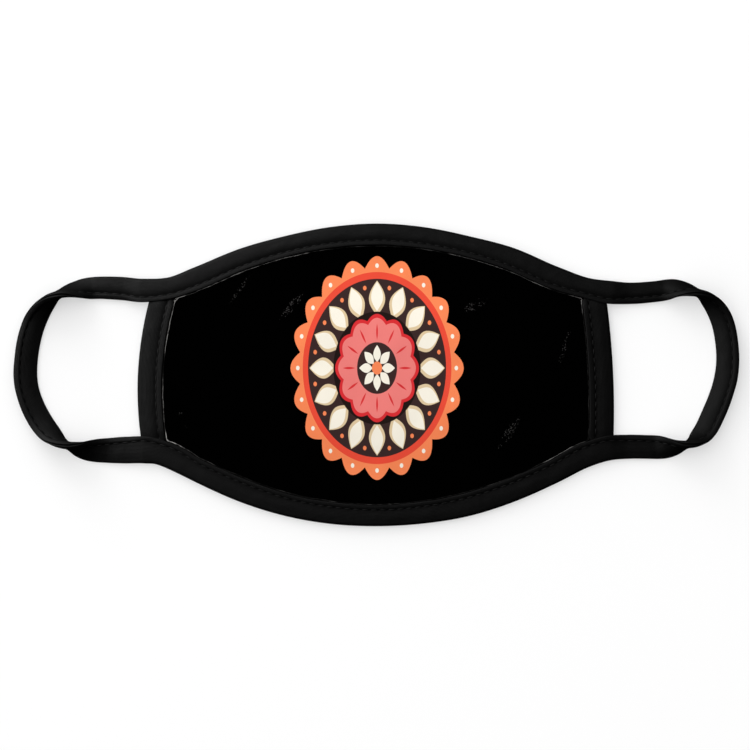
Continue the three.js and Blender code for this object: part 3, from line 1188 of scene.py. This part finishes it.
# %% [markdown]
# ## Shapes for the print
# The front was printed before it was sewn. A picture file could be laid on it, but then the file
# would have to travel with the mask. The medallion is worked out in the measure of its own oval:
# the radius is 1 on the rim, and an angle is folded into equal sectors, so that one petal or one
# bead is drawn once and shows all the way round.

# %% Shapes for the print
EDGE_BLUR = 0.004


def sector(angle, count, shift=0):
    """The angle from the middle of the nearest of this many sectors."""
    wide = 2 * math.pi / count
    return (angle - shift * wide).do("WRAP", wide / 2, -wide / 2)


def within(radius, reach):
    """The inside of an outline, which is at this reach from the middle."""
    return (-radius + reach).rise(0, EDGE_BLUR)


def petals(radius, angle, inner, outer, count, width, shift=0):
    share = (radius - inner) / (outer - inner)
    bulge = (share.do("MAXIMUM", 0).do("MINIMUM", 1) * math.pi).do("SINE") * width
    return (bulge - (sector(angle, count, shift) * radius).do("ABSOLUTE")).rise(0, EDGE_BLUR)


def beads(radius, angle, middle, size, count, shift=0):
    folded = sector(angle, count, shift)
    outwards = radius * folded.do("COSINE") - middle
    sideways = radius * folded.do("SINE")
    return within((outwards * outwards + sideways * sideways).do("SQRT"), size)


def scallops(radius, angle, valley, height, count):
    return within(radius, (angle * (count / 2)).do("COSINE").do("ABSOLUTE") * height + valley)


# %% [markdown]
# ## The inks of the print
# The inks are laid over each other from the rim inwards, as in a screen print. All shapes could
# go into one formula, but as a list each can be moved, recoloured or left out by itself.

# %% The inks of the print
PRINT_MIDDLE = (0.2, 2.5)
PRINT_REACH = (34, 44)  # half of its width and of its height
CORAL, ORANGE, RED = linear(255, 140, 90), linear(240, 80, 60), linear(220, 50, 55)
PINK, CREAM, BEIGE = linear(243, 130, 125), linear(255, 248, 232), linear(230, 205, 165)
BROWN, DARK_BROWN = linear(61, 44, 43), linear(36, 26, 24)


def medallion(tree, x, y, ground):
    across = (x - PRINT_MIDDLE[0]) / PRINT_REACH[0]
    up = (y - PRINT_MIDDLE[1]) / PRINT_REACH[1]
    radius = (across * across + up * up).do("SQRT")
    angle = up.do("ARCTAN2", across)
    layers = [
        (CORAL, scallops(radius, angle, 0.89, 0.1, 20)),
        (ORANGE, within(radius, 0.85)),
        (CREAM, beads(radius, angle, 0.905, 0.022, 20)),
        (BROWN, within(radius, 0.79)),
        (BEIGE, petals(radius, angle, 0.46, 0.775, 16, 0.095)),
        (CREAM, petals(radius, angle, 0.5, 0.765, 16, 0.07)),
        (CORAL, beads(radius, angle, 0.72, 0.022, 16, 0.5)),
        (DARK_BROWN, within(radius, 0.5)),
        (RED, scallops(radius, angle, 0.43, 0.05, 12)),
        (PINK, scallops(radius, angle, 0.395, 0.05, 12)),
        (RED, petals(radius, angle, 0.24, 0.4, 12, 0.012)),
        (BROWN, within(radius, 0.23)),
        (CREAM, petals(radius, angle, 0.05, 0.205, 8, 0.045)),
        (CORAL, within(radius, 0.06)),
    ]
    colour = ground
    for ink, share in layers:
        colour = blend(tree, colour, ink, share)
    return colour


# %% [markdown]
# ## Wear on the print
# Close to the tape the print left a thin broken line of pale cloth, which is widest at the
# corners, and in a few places the black is rubbed to grey. Both could be painted on the mesh by
# hand, but a scratch is much finer than a face. So noise makes them, and short lists say where.

# %% Wear on the print
PALE = linear(190, 188, 185)
SCUFFED = linear(58, 57, 56)
Bare = namedtuple("Bare", "x y reach strength")  # where the pale line is stronger
BARE_PLACES = [
    Bare(-52, 40, 25, 0.5),
    Bare(-79, 22, 13, 0.75),
    Bare(-83, -14, 12, 0.4),
    Bare(-79, -26, 3.5, 0.9),
    Bare(-71, -31, 7, 0.2),
    Bare(48, 40, 19, 0.33),
    Bare(80, 29, 3.5, 0.35),
    Bare(71, -31, 5, 0.45),
]
BARE_FADE = 3  # beyond their reach
Scuff = namedtuple("Scuff", "x y length width slant strength")
SCUFFS = [
    Scuff(-53, 33.5, 17, 2, 54, 0.7),
    Scuff(-33, 26.5, 16, 3.5, 50, 1),
    Scuff(38.5, 27, 12, 4.5, 28, 0.9),
    Scuff(73, 10.3, 17, 2.4, 72, 0.7),
    Scuff(67.7, 20.2, 2.5, 0.9, 0, 0.5),
    Scuff(51.4, -22.8, 17, 4, 56, 1),
    Scuff(-76.6, -15.2, 3, 1.6, 0, 0.7),
    Scuff(-74.2, -20.8, 4, 1.8, 70, 1),
]


def scuffing(tree, place, x, y):
    """Where the black has been rubbed to grey: a few slanting patches of fine scratches."""
    rubbed = None
    for scuff in SCUFFS:
        c, s = math.cos(math.radians(scuff.slant)), math.sin(math.radians(scuff.slant))
        along = ((x - scuff.x) * c + (y - scuff.y) * s) / (scuff.length / 2)
        across = ((y - scuff.y) * c - (x - scuff.x) * s) / (scuff.width / 2)
        patch = (along * along + across * across).fall(0, 1) * scuff.strength
        rubbed = rubbed.do("MAXIMUM", patch) if rubbed else patch
    rubbed = rubbed * lumps(tree, place, 0.0025).rise(0.38, 0.55)
    scratches = lumps(tree, place, 0.0005, 1)
    return (scratches + rubbed * 0.1).rise(0.63, 0.74) * rubbed.rise(0.02, 0.3)


def bare_edge(tree, place, x, y):
    """How pale the thin line is that the print left bare beside the tape."""
    gap = stored(tree, "from_tape") / MM
    strength = lumps(tree, place, 0.014, 3).rise(0.5, 0.68) * 0.1 + 0.03
    for bare in BARE_PLACES:
        far = ((x - bare.x).do("POWER", 2) + (y - bare.y).do("POWER", 2)).do("SQRT")
        near = far.fall(bare.reach, bare.reach + BARE_FADE) * bare.strength
        strength = strength.do("MAXIMUM", near)
    middle = lumps(tree, place, 0.004) * 0.6 + 0.05  # millimetres from the tape
    half = lumps(tree, place, 0.006, 1) * 0.36 - 0.06  # half of the line's width
    broken = lumps(tree, place, 0.0016).rise(0.35, 0.6) * 0.75 + 0.25
    return (gap - middle).do("ABSOLUTE").fall(half * 0.5, half) * broken * strength


print(len(SCUFFS), "rubbed places, and a pale line that is stronger in", len(BARE_PLACES))

# %% [markdown]
# ## The cloth's finish
# The front is a fine plain weave, and the lining is a plain charcoal cotton. Their threads could
# be woven from curves, but they are a third of a millimetre wide. Two crossing waves give the
# same small relief.

# %% The cloth's finish
FRONT_WEAVE, LINING_WEAVE = 0.34, 0.42  # from one thread to the next
FRONT_RELIEF, LINING_RELIEF = 0.03, 0.05
BLACK = (0.0002, 0.0002, 0.0002)
LINING_DARK, LINING_LIGHT = linear(30, 30, 32), linear(52, 52, 54)


def plain_weave(x, y, pitch):
    over = (x * (math.pi / pitch)).do("SINE") * (y * (math.pi / pitch)).do("SINE")
    return over * 0.5 + 0.5


def front_material():
    material, tree, shader = finish_of("printed_cloth", roughness=0.85, gloss=0)
    place = on_mask(tree)
    x, y, _ = parts_of(tree, place)
    ground = blend(tree, BLACK, SCUFFED, scuffing(tree, place, x, y))
    colour = medallion(tree, x, y, ground)
    colour = blend(tree, colour, PALE, bare_edge(tree, place, x, y))
    tree.links.new(colour, shader.inputs["Base Color"])
    weave = plain_weave(x, y, FRONT_WEAVE)
    feed(tree, weave * 0.15 + 0.75, shader.inputs["Roughness"])
    raise_threads(tree, shader, weave, FRONT_RELIEF)
    return material


def lining_material():
    material, tree, shader = finish_of("charcoal_cotton", roughness=0.9, gloss=0.2, sheen=0.05)
    place = on_mask(tree)
    x, y, _ = parts_of(tree, place)
    weave = plain_weave(x, y, LINING_WEAVE)
    mottle = lumps(tree, place, 0.004, 5) * 0.6 + weave * 0.4
    colour = blend(tree, LINING_DARK, LINING_LIGHT, mottle)
    tree.links.new(colour, shader.inputs["Base Color"])
    raise_threads(tree, shader, weave, LINING_RELIEF)
    return material


put_on(front_material(), front_cloth)
put_on(lining_material(), lining_cloth)
